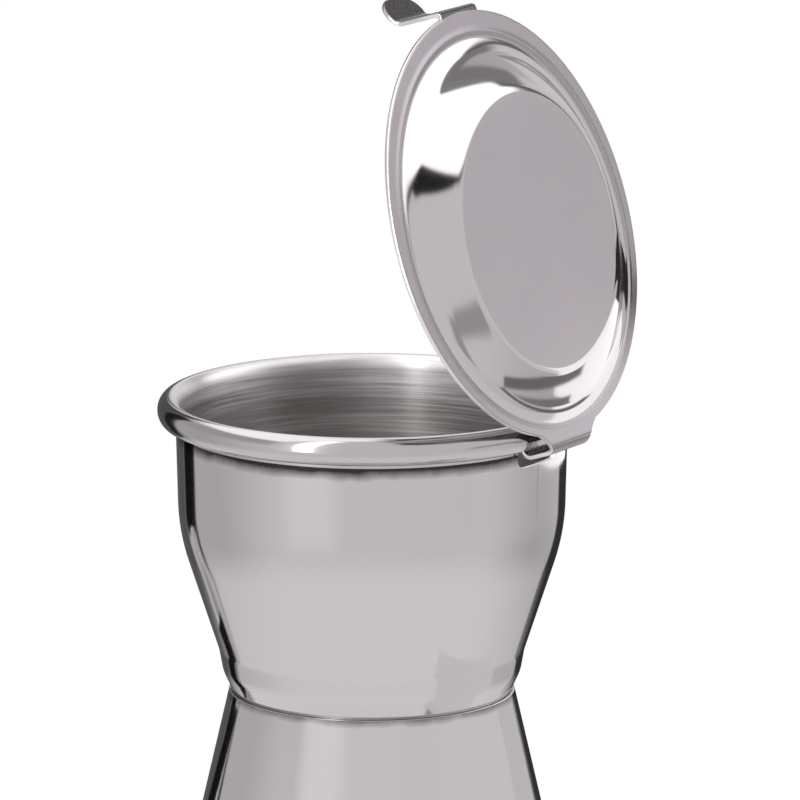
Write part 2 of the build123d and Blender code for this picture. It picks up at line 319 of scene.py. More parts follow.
# swept pieces: a closed section is carried along stations, each with its centre, its normal in the XZ
# plane and a scale
def sweepingTree():
    sizes = ("Rows", "Columns", "Stations", "Section Points")
    tree, given = newTree("sweptSection", [(name, "Int") for name in sizes] + [("Material", "Material")])
    rows, columns, stations, around = [given.outputs[name] for name in sizes]
    grid, (across, down) = startGrid(tree, columns, rows)
    station = pointIndex(tree, down, rows, stations)
    corner = pointIndex(tree, across, columns, around)  # the section's points come after the stations
    offset = addNode(tree, "ShaderNodeMath", {0: corner, 1: stations}, operation="ADD")
    place = addNode(tree, "GeometryNodeInputPosition")
    normal = addNode(tree, "GeometryNodeInputNamedAttribute", {0: "normal"}, data_type="FLOAT_VECTOR")
    scale = addNode(tree, "GeometryNodeInputNamedAttribute", {0: "scale"}, data_type="FLOAT")
    found = []
    for value, index, kind in (
        (place, station, "FLOAT_VECTOR"),
        (normal, station, "FLOAT_VECTOR"),
        (scale, station, "FLOAT"),
        (place, offset, "FLOAT_VECTOR"),
    ):
        inputs = {"Geometry": given.outputs[0], "Value": value, "Index": index}
        found.append(addNode(tree, "GeometryNodeSampleIndex", inputs, data_type=kind, domain="POINT"))
    centre, direction, size, section = found
    scaled = addNode(tree, "ShaderNodeVectorMath", {0: section, "Scale": size}, operation="SCALE")
    parts = addNode(tree, "ShaderNodeSeparateXYZ", {0: scaled})
    length = {0: direction, "Scale": parts.outputs[0]}
    outward = addNode(tree, "ShaderNodeVectorMath", length, operation="SCALE")
    sideways = addNode(tree, "ShaderNodeCombineXYZ", {1: parts.outputs[1]})
    reach = addNode(tree, "ShaderNodeVectorMath", {0: outward, 1: sideways}, operation="ADD")
    final = addNode(tree, "ShaderNodeVectorMath", {0: centre, 1: reach}, operation="ADD")
    moved = addNode(tree, "GeometryNodeSetPosition", {0: grid, 2: final})
    closed = addNode(tree, "GeometryNodeMergeByDistance", {0: moved, 2: 1e-6})
    endTree(tree, closed, given.outputs["Material"])
    return tree


sweptSection = sweepingTree()


def sweepPiece(name, stations, section, material, looped):  # a station is (centre, normal, scale)
    points = [(centre[0] * mm, 0, centre[1] * mm) for centre, _, _ in stations]
    points += [(p[0] * mm, p[1] * mm, 0) for p in section]
    attributes = (
        ("normal", "FLOAT_VECTOR", "vector", [(normal[0], 0, normal[1]) for _, normal, _ in stations]),
        ("scale", "FLOAT", "value", [scale for _, _, scale in stations]),
    )
    values = {
        "Rows": len(stations) if looped else len(stations) - 1,
        "Columns": len(section),
        "Stations": len(stations),
        "Section Points": len(section),
        "Material": material,
    }
    return growPiece(name, points, sweptSection, values, attributes)


def bezierStations(knots, count):  # points and unit tangents along a Bezier curve through any number of knots
    places = []
    for step in range(count + 1):
        share = step / count
        points = [Vector(k) for k in knots]
        while len(points) > 2:
            points = [a.lerp(b, share) for a, b in zip(points, points[1:])]
        places.append((points[0].lerp(points[1], share), (points[1] - points[0]).normalized()))
    return places


def paintZones(piece, zones, rule):  # the rule picks each face's material from its centre and normal
    piece.data.materials.clear()
    for material in zones.values():
        piece.data.materials.append(material)
    order = list(zones)
    for face in piece.data.polygons:
        face.material_index = order.index(rule(face.center / mm, face.normal))


# materials
def steelBase(tree, colour, inputs):  # output, shader and colour of every steel here
    given = {"Base Color": hexColour(colour), "Metallic": 1, **inputs}
    steel = addNode(tree, "ShaderNodeBsdfPrincipled", given)
    addNode(tree, "ShaderNodeOutputMaterial", {0: steel})
    return steel


def makeSatin(name, colour, rough, spread, lineHeight, shadeAndSeamBand):
    # 304 stainless sheet, spun and finished with a fine belt: faint rings round the axis, drawn 0.35 to
    # 0.4 mm apart, coarser than real, so that they show. It has hazy patches 22 mm across where it was
    # held. Between two heights it is darkened, with an edge wandering over spots of 6 mm: painted shade
    # under the bead on the cup, and a dark band at the seam on the cone
    material, tree = newMaterial(name)
    place = addNode(tree, "ShaderNodeTexCoord").outputs["Object"]
    rings = addNode(tree, "ShaderNodeMapping", {0: place, "Scale": (25, 25, 1000 / lineHeight)})
    look = {"Vector": rings, "Scale": 1, "Detail": 4, "Roughness": 0.65}
    lines = addNode(tree, "ShaderNodeTexNoise", look)
    broad = addNode(tree, "ShaderNodeTexNoise", {"Vector": place, "Scale": 45, "Detail": 3})
    levels = {0: broad, 1: 0.3, 2: 0.7, 3: rough - spread, 4: rough + spread}
    handled = addNode(tree, "ShaderNodeMapRange", levels)
    streaky = addNode(tree, "ShaderNodeMapRange", {0: lines, 1: 0.3, 2: 0.7, 3: -spread, 4: spread})
    total = addNode(tree, "ShaderNodeMath", {0: handled, 1: streaky}, operation="ADD")
    bump = addNode(tree, "ShaderNodeBump", {"Strength": 1, "Distance": 0.0008 * mm, "Height": lines})
    up = addNode(tree, "ShaderNodeCombineXYZ", {2: 1})  # across the rings, so the sheen spreads up and down
    sheen = {"Roughness": total, "Anisotropic": 0.3, "Tangent": up, "Normal": bump}
    steel = steelBase(tree, colour, sheen)
    height = addNode(tree, "ShaderNodeSeparateXYZ", {0: place})
    spots = {"Vector": place, "Scale": 160, "Detail": 5, "Roughness": 0.6}
    patches = addNode(tree, "ShaderNodeTexNoise", spots)
    edge = {0: patches, 1: 1.6 * mm, 2: -0.8 * mm}  # the darkened band's edge wanders up and down
    wander = addNode(tree, "ShaderNodeMath", edge, operation="MULTIPLY_ADD")
    level = addNode(tree, "ShaderNodeMath", {0: height.outputs[2], 1: wander}, operation="ADD")
    # painted shade: the cup's wall is darkened just under its bead; the cone is darkened in a band at its
    # seam
    low, high, most = shadeAndSeamBand
    shadeAndSeamDarkening = addNode(tree, "ShaderNodeMapRange", {0: level, 1: low * mm, 2: high * mm, 3: 0, 4: most})
    colours = {0: shadeAndSeamDarkening, 6: hexColour(colour), 7: hexColour("#2B2826")}
    tint = addNode(tree, "ShaderNodeMix", colours, data_type="RGBA")
    tree.links.new(tint.outputs[2], steel.inputs["Base Color"])
    return material


def makePolished(name, colour, rough, haze):
    # the same sheet, buffed: nearly a mirror, with a cloudy haze 11 mm across
    material, tree = newMaterial(name)
    place = addNode(tree, "ShaderNodeTexCoord").outputs["Object"]
    look = {"Vector": place, "Scale": 90, "Detail": 5, "Roughness": 0.6}
    cloud = addNode(tree, "ShaderNodeTexNoise", look)
    hazy = addNode(tree, "ShaderNodeMapRange", {0: cloud, 1: 0.35, 2: 0.75, 3: rough, 4: rough + haze})
    bump = addNode(tree, "ShaderNodeBump", {"Strength": 1, "Distance": 0.002 * mm, "Height": cloud})
    steelBase(tree, colour, {"Roughness": hazy, "Normal": bump})
    return material


def makeBrushedInside(name, low, high, rough, lip):
    # left with its coarser turning lines: streaks 13 mm long and 0.24 mm high round the axis, in bands
    # 1.1 mm high, a little out of level as a hand-held belt leaves them. Towards the lip it is painted
    # lighter, as light from above falls in there
    material, tree = newMaterial(name)
    place = addNode(tree, "ShaderNodeTexCoord").outputs["Object"]
    noises = []
    for lean, size, look in (
        ((0.05, -0.03, 0), (75, 75, 4200), {"Scale": 1, "Detail": 2, "Roughness": 0.5}),
        ((-0.03, 0.05, 0), (30, 30, 900), {"Scale": 1, "Detail": 2}),
    ):
        tilted = addNode(tree, "ShaderNodeMapping", {0: place, "Rotation": lean, "Scale": size})
        noises.append(addNode(tree, "ShaderNodeTexNoise", {"Vector": tilted, **look}))
    lines, bands = noises
    both = addNode(tree, "ShaderNodeMath", {0: lines, 1: bands}, operation="ADD")
    height = addNode(tree, "ShaderNodeSeparateXYZ", {0: place})
    # painted light: the colour turns lighter towards the lip, where light from above reaches in
    paintedLightNearLip = {0: height.outputs[2], 1: (lip - 9) * mm, 2: lip * mm, 3: -0.1, 4: 0.75}
    rise = addNode(tree, "ShaderNodeMapRange", paintedLightNearLip, interpolation_type="SMOOTHSTEP")
    share = addNode(tree, "ShaderNodeMapRange", {0: both, 1: 0.7, 2: 1.3, 3: -0.25, 4: 0.55})
    total = addNode(tree, "ShaderNodeMath", {0: share, 1: rise}, operation="ADD", use_clamp=True)
    levels = {0: both, 1: 0.75, 2: 1.25, 3: rough - 0.06, 4: rough + 0.08}
    level = addNode(tree, "ShaderNodeMapRange", levels)
    colours = {0: total, 6: hexColour(low), 7: hexColour(high)}
    tint = addNode(tree, "ShaderNodeMix", colours, data_type="RGBA")
    bump = addNode(tree, "ShaderNodeBump", {"Strength": 1, "Distance": 0.004 * mm, "Height": lines})
    up = addNode(tree, "ShaderNodeCombineXYZ", {2: 1})
    sheen = {"Roughness": level, "Anisotropic": 0.85, "Tangent": up, "Normal": bump}
    steel = steelBase(tree, low, sheen)
    tree.links.new(tint.outputs[2], steel.inputs["Base Color"])
    return material


def makeDisc():
    # the top of the lid, bead blasted before the wall was buffed: an even grey with no reflections.
    # The grit's dimples are drawn 0.55 mm across so that they show, and the grey drifts over 17 mm
    material, tree = newMaterial("beadBlastedStainless")
    place = addNode(tree, "ShaderNodeUVMap", uv_map="sheet")
    grit = addNode(tree, "ShaderNodeTexNoise", {"Vector": place, "Scale": 180, "Detail": 2})
    broad = addNode(tree, "ShaderNodeTexNoise", {"Vector": place, "Scale": 6, "Detail": 3})
    colours = {0: broad, 6: hexColour("#B0AAAE"), 7: hexColour("#B8B2B6")}
    tint = addNode(tree, "ShaderNodeMix", colours, data_type="RGBA")
    bump = addNode(tree, "ShaderNodeBump", {"Strength": 1, "Distance": 0.004 * mm, "Height": grit})
    steel = steelBase(tree, "#B4AEB2", {"Roughness": 0.5, "Normal": bump})
    tree.links.new(tint.outputs[2], steel.inputs["Base Color"])
    return material


def makeUnderside(name, colour):
    # the back of the pressed sheet as it came from the mill: dull, with specks 0.3 mm apart
    material, tree = newMaterial(name)
    place = addNode(tree, "ShaderNodeUVMap", uv_map="sheet")
    specks = addNode(tree, "ShaderNodeTexVoronoi", {"Vector": place, "Scale": 330})
    level = addNode(tree, "ShaderNodeMapRange", {0: specks, 1: 0.1, 2: 0.5, 3: 0.45, 4: 0.25})
    bump = addNode(tree, "ShaderNodeBump", {"Strength": 0.6, "Distance": 0.03 * mm, "Height": specks})
    steelBase(tree, colour, {"Roughness": level, "Normal": bump})
    return material


# the cup's dark band up to its bead is painted shade; the cone's dark band sits at its seam
satinCup = makeSatin("satinStainlessCup", "#C8C3C4", 0.09, 0.015, 0.35, (159.9, 161.4, 0.97))
satinCone = makeSatin("satinStainlessCone", "#CDC8CA", 0.09, 0.015, 0.4, (121.9, 123.1, 0.8))
satinFlange = makePolished("satinStainlessFlange", "#9F999D", 0.2, 0.06)
buffedRim = makePolished("buffedStainlessRim", "#BFBABC", 0.12, 0.05)
buffedWall = makePolished("buffedStainlessWall", "#C8C3C5", 0.07, 0.04)
buffedParts = makePolished("buffedStainlessFittings", "#CDC9CA", 0.11, 0.05)
cutEdge = makePolished("shearedStainlessEdge", "#DEDADC", 0.3, 0.1)
# painted shade: the pin is made dark grey, standing in for the shade inside the hinge's curl
shadedWire = makePolished("shadedStainlessWire", "#5E5B59", 0.3, 0.08)
# its lighter colour near the lip is painted light
turnedInside = makeBrushedInside("turnedStainlessInside", "#ADA8A7", "#F2EEEF", 0.38, 166)
blastedDisc = makeDisc()
millUnderside = makeUnderside("millFinishStainless", "#B4B0B2")
shadedTab = makeUnderside("shadedStainlessTab", "#625E60")  # a darker copy of the mill finish: painted shade on the tab
print("materials made")


# cone and base
cone = {
    "height": 123, "neck": 20.8, "foot": 49.2, "flange": 52.2, "sheet": 0.6, "bend": 1, "ease": 0.1,
    "segments": 360, "hemRadius": 50.3, "hemBend": 0.62, "baseRadius": 52.8,
    "groove": ((28.2, 0), (30, 1.2), (38, 1.2), (39.8, 0)), "grooveBend": 0.9,
    "holeDepth": 9, "cutEdgeHeight": 0.3, "flangeTop": 2,
}


def coneRadius(height):
    return cone["foot"] + (cone["neck"] - cone["foot"]) * height / cone["height"]


def makeCone():
    low = 2 * cone["sheet"]
    corners = [(cone["neck"], cone["height"]), (coneRadius(low), low), (cone["flange"], low)]
    path = divided(roundedPath(corners, [cone["bend"]]), 6)
    outline = sheetOutline(path, cone["sheet"], cone["ease"])
    piece = turnPiece("coneBody", outline, cone["segments"], satinCone)
    depth = cone["holeDepth"]
    cutAway(piece, tubeCutter("spoutHole", spout["rootRadius"] + spout["solderGap"], -depth, depth))
    zones = {"outside": satinCone, "inside": turnedInside, "edge": cutEdge}

    def zone(c, n):
        if c.z > cone["height"] - cone["cutEdgeHeight"] and n.z > 0.6:
            return "edge"
        return "inside" if n.x * c.x + n.y * c.y < 0 and c.z > cone["flangeTop"] else "outside"

    paintZones(piece, zones, zone)
    settlePiece(piece, "vessel", "body_steel", "cone_body")


def makeBase():
    sheet = cone["sheet"]
    corners = [
        (cone["hemRadius"], 3 * sheet), (cone["baseRadius"], 3 * sheet), (cone["baseRadius"], 0),
        *reversed(cone["groove"]), (0, 0),
    ]
    path = divided(roundedPath(corners, [cone["hemBend"]] * 2 + [cone["grooveBend"]] * 4), 4)
    outline = sheetOutline(path, sheet, cone["ease"], 0)
    piece = turnPiece("basePlate", outline, cone["segments"], satinCone)
    settlePiece(piece, "vessel", "body_steel", "base_plate")


# mouth cup
cup = {
    "profile": ((20.35, 123), (21.7, 125.9), (22.28, 129.1), (28.04, 146.5), (28.5, 164.5)),
    "bends": (6, 6, 30), "sheet": 0.6, "segments": 480,
    "spigotRadius": 20.134, "spigotFoot": 118.8,
    "bead": (29.5, 164.5), "beadHalfWidth": 1.6, "beadHalfHeight": 2.05, "rollEnd": -116,
    "notchHalf": 6.8, "notchFoot": 162.45, "slotHalf": 5.4, "slotFoot": 159.6, "slotCorner": 1.4,
    "notchBends": (0.25, 0.2), "notchTop": 170, "notchReach": 60,
    "cutFoot": 159, "cutRadius": 27,  # the notch's cut edges lie above and outside these
    "rimFoot": 162.2, "rimRadius": 28.3, "rimTop": 164.3,  # where the buffed rim starts, outside and in
}


def makeCup():
    sheet = cup["sheet"]
    outside = divided(roundedPath(cup["profile"], cup["bends"], 2), 1.5)
    inside = [outside[-1] - Vector((sheet, 0))]
    for before, here, after in reversed(list(zip(outside, outside[1:], outside[2:]))):
        along = (after - before).normalized()
        inside.append(here + Vector((-along.y, along.x)) * sheet)
    outer, low, ease = cup["spigotRadius"], cup["spigotFoot"], 0.1
    inner, seam = outer - sheet, cup["profile"][0][1]
    foot = [Vector(point) for point in (
        (outer, seam), (outer, low + ease), (outer - ease, low),
        (inner + ease, low), (inner, low + ease), (inner, seam + 0.4),
    )]
    wide, high = cup["beadHalfWidth"], cup["beadHalfHeight"]
    bead = ellipsePath(cup["bead"], wide, high, 180, cup["rollEnd"], 64)
    hollow = ellipsePath(cup["bead"], wide - sheet, high - sheet, cup["rollEnd"], 180, 40)
    outline = foot + inside[-2:0:-1] + [inside[0]] + bead[1:] + hollow[:-1] + outside[::-1]
    outline = thinned(outline)
    piece = turnPiece("mouthCup", outline, cup["segments"], satinCup)
    half, slot, foot = cup["notchHalf"], cup["slotHalf"], cup["notchFoot"]
    corners = [(half, cup["notchTop"]), (half, foot), (slot, foot), (slot, cup["slotFoot"])]
    corners += [(-y, z) for y, z in reversed(corners)]
    bends = [*cup["notchBends"], cup["slotCorner"]]
    notch = roundedPath(corners, bends + bends[::-1], 8)
    cutAway(piece, prism("hingeNotch", notch, cup["spigotRadius"], cup["notchReach"]))
    zones = {"outside": satinCup, "rim": buffedRim, "inside": turnedInside, "edge": cutEdge}

    def zone(c, n):
        radius = math.hypot(c.x, c.y)
        outward = (n.x * c.x + n.y * c.y) / radius
        inNotch = c.z > cup["cutFoot"] and radius > cup["cutRadius"] and abs(c.y) < half + 0.02
        if inNotch and abs(n.x) < 0.5 and c.x > 0:
            return "edge"
        if c.z > cup["rimTop"] and outward < -0.35:
            return "inside"
        if radius > cup["rimRadius"] and c.z > cup["rimFoot"] or c.z > cup["rimTop"]:
            return "rim"
        return "inside" if outward < 0 else "outside"

    paintZones(piece, zones, zone)
    settlePiece(piece, "vessel", "cup_steel", "mouth_cup")


# spout, with its collar and solder
spout = {
    "rootHeight": 27, "pitch": 24, "rootRadius": 8, "tipRadius": 3.4, "sheet": 0.6, "stub": 4, "run": 32,
    "middle": (-72, 98), "shoulder": (-88, 138), "tip": (-112, 150), "stations": 90, "sides": 72,
    "rootStart": -2.6, "collarRadius": 12.5, "collarSheet": 0.8, "collarEase": 0.35, "collarPoints": 120,
    "solderGap": 0.05, "solderReach": 1.3, "solderWaves": ((0.12, 5, 1), (0.07, 13, 0)), "solderInset": 0.1,
}
rootPoint = Vector((-coneRadius(spout["rootHeight"]), spout["rootHeight"]))
rootPitch = math.radians(spout["pitch"])
rootTangent = Vector((-math.cos(rootPitch), math.sin(rootPitch)))
rootNormal = Vector((-rootTangent.y, rootTangent.x))


def rootPlace(side, up, along):  # a point given across, up and along the spout's root
    flat = rootPoint + rootNormal * up + rootTangent * along
    return Vector((flat.x, side, flat.y))


def outsideCone(point):  # how far a point is outside the cone, measured level
    return math.hypot(point.x, point.y) - coneRadius(point.z)


def alongToCone(side, up, distance):  # how far along the root a point meets the cone's surface
    low, high = -14, 14  # mm before and past the root point, then halved down to nothing
    for _ in range(40):
        middle = (low + high) / 2
        if outsideCone(rootPlace(side, up, middle)) > distance:
            high = middle
        else:
            low = middle
    return (low + high) / 2


def tubeCutter(name, radius, low, high):
    turns = [math.tau * i / 96 for i in range(96)]
    ends = [[rootPlace(radius * math.cos(a), radius * math.sin(a), t) for a in turns] for t in (low, high)]
    return joinEnds(name, *ends)


def makeSpout():
    sheet, start = spout["sheet"], spout["rootStart"]
    knots = [rootPoint + rootTangent * spout["stub"], rootPoint + rootTangent * spout["run"],
             spout["middle"], spout["shoulder"], spout["tip"]]
    line = [
        (rootPoint + rootTangent * (start + i * (spout["stub"] - start) / 6), rootTangent) for i in range(6)
    ]
    line += bezierStations(knots, spout["stations"])
    lengths = [0]
    for (before, _), (after, _) in zip(line, line[1:]):
        lengths.append(lengths[-1] + (after - before).length)
    curveStart = lengths[6]
    stations = []
    for (place, along), length in zip(line, lengths):
        share = max(0, (length - curveStart) / (lengths[-1] - curveStart))
        radius = spout["rootRadius"] + (spout["tipRadius"] - spout["rootRadius"]) * share
        stations.append((place, Vector((-along.y, along.x)), radius, along))
    outer = [(place, normal, radius) for place, normal, radius, _ in stations[:-1]]
    tip, normal, radius, along = stations[-1]
    lip = []
    half = sheet / 2
    for step in range(9):  # the cut end of the tube is rounded
        angle = math.pi * step / 8
        place = tip - along * half * (1 - math.sin(angle))
        lip.append((place, normal, radius - half + half * math.cos(angle)))
    inner = [(place, normal, radius - sheet) for place, normal, radius, _ in reversed(stations[:-1])]
    sides = spout["sides"]
    section = [(math.cos(math.tau * i / sides), math.sin(math.tau * i / sides)) for i in range(sides)]
    piece = sweepPiece("spoutTube", outer + lip + inner, section, buffedParts, True)
    settlePiece(piece, "vessel", "polished_steel", "spout_tube")


def ringGrid(name, rings, looped):  # rows of points round a closed ring, joined into faces
    count = len(rings[0])
    points = [p for ring in rings for p in ring]
    faces = []
    for row in range(len(rings) if looped else len(rings) - 1):
        here, there = row * count, (row + 1) % len(rings) * count
        for i in range(count):
            j = (i + 1) % count
            faces.append((here + i, here + j, there + j, there + i))
    return makePiece(name, points, faces)


def rootRing(reach, place):  # points round the root; place gives how far along it each one lies
    ring = []
    for i in range(spout["collarPoints"]):
        angle = math.tau * i / spout["collarPoints"]
        away = reach(angle)
        side, up = away * math.cos(angle), away * math.sin(angle)
        ring.append(rootPlace(side, up, place(side, up, angle)))
    return ring


def makeCollar():
    inner, outer = spout["rootRadius"] + spout["solderGap"], spout["collarRadius"]
    sheet, gap, ease = spout["collarSheet"], spout["solderGap"], spout["collarEase"]
    section = [(inner, gap), (inner, sheet)]
    section += [(inner + (outer - ease - inner) * i / 6, sheet) for i in range(1, 7)]
    section += [(outer - ease + ease * math.sin(a), sheet - ease + ease * math.cos(a))
                for a in (math.radians(18 * i) for i in range(1, 6))]
    section += [(outer, gap)]
    rings = [
        rootRing(lambda _: radius, lambda side, up, _: alongToCone(side, up, distance))
        for radius, distance in section
    ]
    collar = ringGrid("spoutCollar", rings, True)
    collar.data.materials.append(buffedParts)
    settlePiece(collar, "vessel", "polished_steel", "spout_collar")

    def spread(angle):  # how wide the solder is, which varies round the tube
        waves = [size * math.sin(count * angle + start) for size, count, start in spout["solderWaves"]]
        return spout["solderReach"] * (1 + waves[0] + waves[1])

    radius, inset = spout["rootRadius"], spout["solderInset"]
    rings = []
    for step in range(9):  # a hollow fillet of solder from the tube down to the collar
        bend = math.pi / 2 * step / 8
        rings.append(rootRing(
            lambda angle: radius + spread(angle) * (1 - math.cos(bend)),
            lambda side, up, angle: alongToCone(side, up, sheet) + spread(angle) * (1 - math.sin(bend)),
        ))
    rings.append(rootRing(lambda _: radius - inset, lambda side, up, _: alongToCone(side, up, sheet) - inset))
    fillet = ringGrid("spoutSolder", rings, True)
    fillet.data.materials.append(buffedParts)
    settlePiece(fillet, "vessel", "polished_steel")


# handle
strap = {
    "knots": ((0, 100), (66, 116), (72, 74), (58, 28), (0, 34)), "stations": 110,
    "width": 15, "sheet": 1.2, "crown": 1.4,
    "padWidth": 15, "padLength": 18, "padCorner": 6.5, "padSheet": 1, "padEase": 0.3, "padGap": 0.05,
    "padHeights": (95, 29),
    "weldHeights": (89.5, 32.5), "weldReach": 3.4, "weldRadius": 1.5, "weldDepth": 0.14,
}


def makeHandle():
    knots = [Vector(k) for k in strap["knots"]]
    for end in (0, -1):
        knots[end].x = coneRadius(knots[end].y) - strap["sheet"]
    line = bezierStations(knots, strap["stations"])
    sheet, crown = strap["sheet"], strap["crown"]
    half = strap["width"] / 2 - sheet / 2
    bow = (half ** 2 + crown ** 2) / (2 * crown)  # radius of the crowned section
    spread = math.asin(half / bow)
    section = []
    for side in (1, -1):
        angles = [side * spread * (1 - 2 * i / 28) for i in range(29)]
        reach = bow + side * sheet / 2
        section += [(reach * math.cos(a) - bow, reach * math.sin(a)) for a in angles]
        edge = (bow * math.cos(spread) - bow, -side * half)
        turn = -side * spread
        rounds = [turn - side * math.pi * i / 8 for i in range(1, 8)]
        section += [(edge[0] + sheet / 2 * math.cos(t), edge[1] + sheet / 2 * math.sin(t)) for t in rounds]
    stations = [(place, Vector((-along.y, along.x)), 1) for place, along in line]
    ends = [(line[end][0], Vector((0, 1)), 0) for end in (0, -1)]  # each end closes to a point
    stations = [ends[0], *stations, ends[1]]
    piece = sweepPiece("handleStrap", stations, section, buffedParts, False)
    settlePiece(piece, "vessel", "polished_steel", "handle")


def makePads():
    halfWide, halfLong, corner = strap["padWidth"] / 2, strap["padLength"] / 2, strap["padCorner"]
    ease, sheet, gap = strap["padEase"], strap["padSheet"], strap["padGap"]
    names = ("handlePadTop", "handlePadFoot")
    for name, height, weld in zip(names, strap["padHeights"], strap["weldHeights"]):
        outline = []
        for quarter, (y, z) in enumerate(((1, 1), (-1, 1), (-1, -1), (1, -1))):
            for i in range(16):
                angle = math.pi / 2 * (quarter + i / 15)
                across = y * (halfWide - corner) + corner * math.cos(angle)
                outline.append((across, z * (halfLong - corner) + corner * math.sin(angle)))
        flat = 1 - ease / halfWide
        section = [(1, gap)]
        for a in (math.radians(18 * i) for i in range(6)):
            section.append((1 - ease / halfWide * (1 - math.cos(a)), sheet - ease + ease * math.sin(a)))
        section += [(flat - flat * i / 24, sheet) for i in range(1, 24)]
        rings = []
        for scale, distance in section:
            ring = []
            for y, z in outline:
                y, z = y * scale, height + z * scale
                dent = 0
                if scale < 0.95:
                    for side in (1, -1):
                        away = math.hypot(y - side * strap["weldReach"], z - weld) / strap["weldRadius"]
                        dent += strap["weldDepth"] * max(0, 1 - away ** 2) ** 1.5
                reach = coneRadius(z) + distance - dent
                ring.append(Vector((math.sqrt(reach ** 2 - y ** 2), y, z)))
            rings.append(ring)
        centre, under = [
            [Vector((coneRadius(height) + away, 0, height))] * len(outline) for away in (sheet, gap)
        ]
        pad = ringGrid(name, [under] + rings + [centre], False)
        pad.data.materials.append(buffedParts)
        settlePiece(pad, "vessel", "polished_steel")


# lid, drawn flat round its centre and then bent: x away from the centre, y along the hinge, z up from
# the flange
lid = {
    "hinge": (30.4, 164.5), "openAngle": 72.5, "radius": 31.2, "sheet": 0.65, "plateTop": 2.95, "dome": 3.8,
    "crease": (3, 24), "wallAngle": 38, "footBend": 4.4, "flangeInner": 28.2, "columns": 600,
    "footShift": 1.1, "discShift": 1.8, "shiftRun": 7.9, "discTilt": 3.6,
    "ripple": (-0.05, 0.02, 0.07, 0.03),
    "tongueColumns": 24, "tongueHalf": 5.1, "tongueFlare": 3.4, "axisReach": 30.4,
    "curlBend": 1.6, "curlEnd": 13.6,
    "tabColumns": 15, "tabRoot": 1.2, "foldStart": 31.2, "foldBend": 0.75, "foldRun": 0.55, "tabDrop": 7.85,
    "neckHalf": 3.95, "paddleHalf": 4.375, "paddleLength": 3.25, "paddleReach": 1.45,
    "paddleTilt": 32.4, "flareBend": 1.5, "edgeEase": 0.12,
}


def lidProfile():  # radius, height above the flange and zone, from the centre outward
    steep, (creaseBend, creaseAngle) = math.radians(lid["wallAngle"]), lid["crease"]
    crease = math.radians(creaseAngle)
    wallBend = (
        lid["dome"] - lid["footBend"] * (1 - math.cos(steep)) - creaseBend * (1 - math.cos(crease))
    ) / (math.cos(crease) - math.cos(steep))
    turns = [
        (creaseBend, crease, 6, "wall"), (wallBend, steep - crease, 22, "wall"),
        (lid["footBend"], -steep, 10, "foot"),
    ]
    run = (lid["footBend"] * math.sin(steep) + wallBend * (math.sin(steep) - math.sin(crease))
           + creaseBend * math.sin(crease))
    radius, height, slope = lid["flangeInner"] - run, lid["dome"], 0
    rows = [(radius * i / 12, height, "disc") for i in range(1, 13)]
    for bend, turn, steps, zone in turns:
        step = turn / steps
        chord = 2 * bend * math.sin(abs(step) / 2)
        for _ in range(steps):
            slope += step / 2
            radius, height = radius + chord * math.cos(slope), height - chord * math.sin(slope)
            slope += step / 2
            rows.append((radius, height, zone))
    flat = lid["radius"] - lid["flangeInner"]
    heights = [*lid["ripple"], *[0] * 8]  # two faint rings pressed in beside the wall
    rows += [(lid["flangeInner"] + flat * (i + 1) / 12, heights[i], "flange") for i in range(12)]
    return rows


def domePlace(radius, height, angle):  # the dome sits a little nearer the hinge, and its disc leans
    inner = max(0, min(1, (lid["flangeInner"] - radius) / lid["shiftRun"]))
    outer = max(0, (radius - lid["flangeInner"]) / (lid["radius"] - lid["flangeInner"]))
    shift = lid["footShift"] * (1 - outer) + (lid["discShift"] - lid["footShift"]) * inner
    lean = math.tan(math.radians(lid["discTilt"])) / lid["dome"] * radius * math.cos(angle)
    return radius * math.cos(angle) + shift, radius * math.sin(angle), height * (1 - lean)


def bentLine(runs, length):  # x and z at a length along straight runs and bends, each (radius, run)
    x, z, heading = 0, 0, 0
    for radius, run in runs:
        part = min(length, run)
        if radius:
            swing = part / radius
            x += radius * (math.sin(heading + swing) - math.sin(heading))
            z -= radius * (math.cos(heading) - math.cos(heading + swing))
            heading += swing
        else:
            x, z = x + part * math.cos(heading), z - part * math.sin(heading)
        length -= part
    return x + length * math.cos(heading), z - length * math.sin(heading)


def tabLine(length):  # the tab's outer face as it folds over the bead and flares
    fold, flare = lid["foldBend"], math.radians(90 - lid["paddleTilt"])
    bend, corner = lid["flareBend"], math.tan(flare / 2)
    straight = lid["tabDrop"] + lid["sheet"] / 2 - fold - (bend + lid["sheet"] / 2) * corner
    return bentLine(((fold, fold * math.pi / 2), (0, straight), (-bend, bend * flare)), length)


def curlLine(length):  # the tongue's outer face as it curls squarely round the pin
    bend = lid["curlBend"]
    flat = lid["plateTop"] - bend
    corner = (bend, bend * math.pi / 2)
    x, z = bentLine(((0, flat), corner, (0, 2 * flat), corner, (0, 2 * flat), corner), length)
    return x, z + lid["plateTop"]


def bendLid(x, y, height):  # from the flat drawing to the lid's own frame, whose origin is on the hinge axis
    away = x - lid["axisReach"]
    if away > 0:
        out, up = curlLine(away)
        return Vector((out, y, up + height))
    if x < -lid["foldStart"]:
        out, up = tabLine(-lid["foldStart"] - x)
        return Vector((-lid["axisReach"] - lid["foldStart"] - out, y, lid["plateTop"] + up))
    return Vector((away, y, lid["plateTop"] + height))


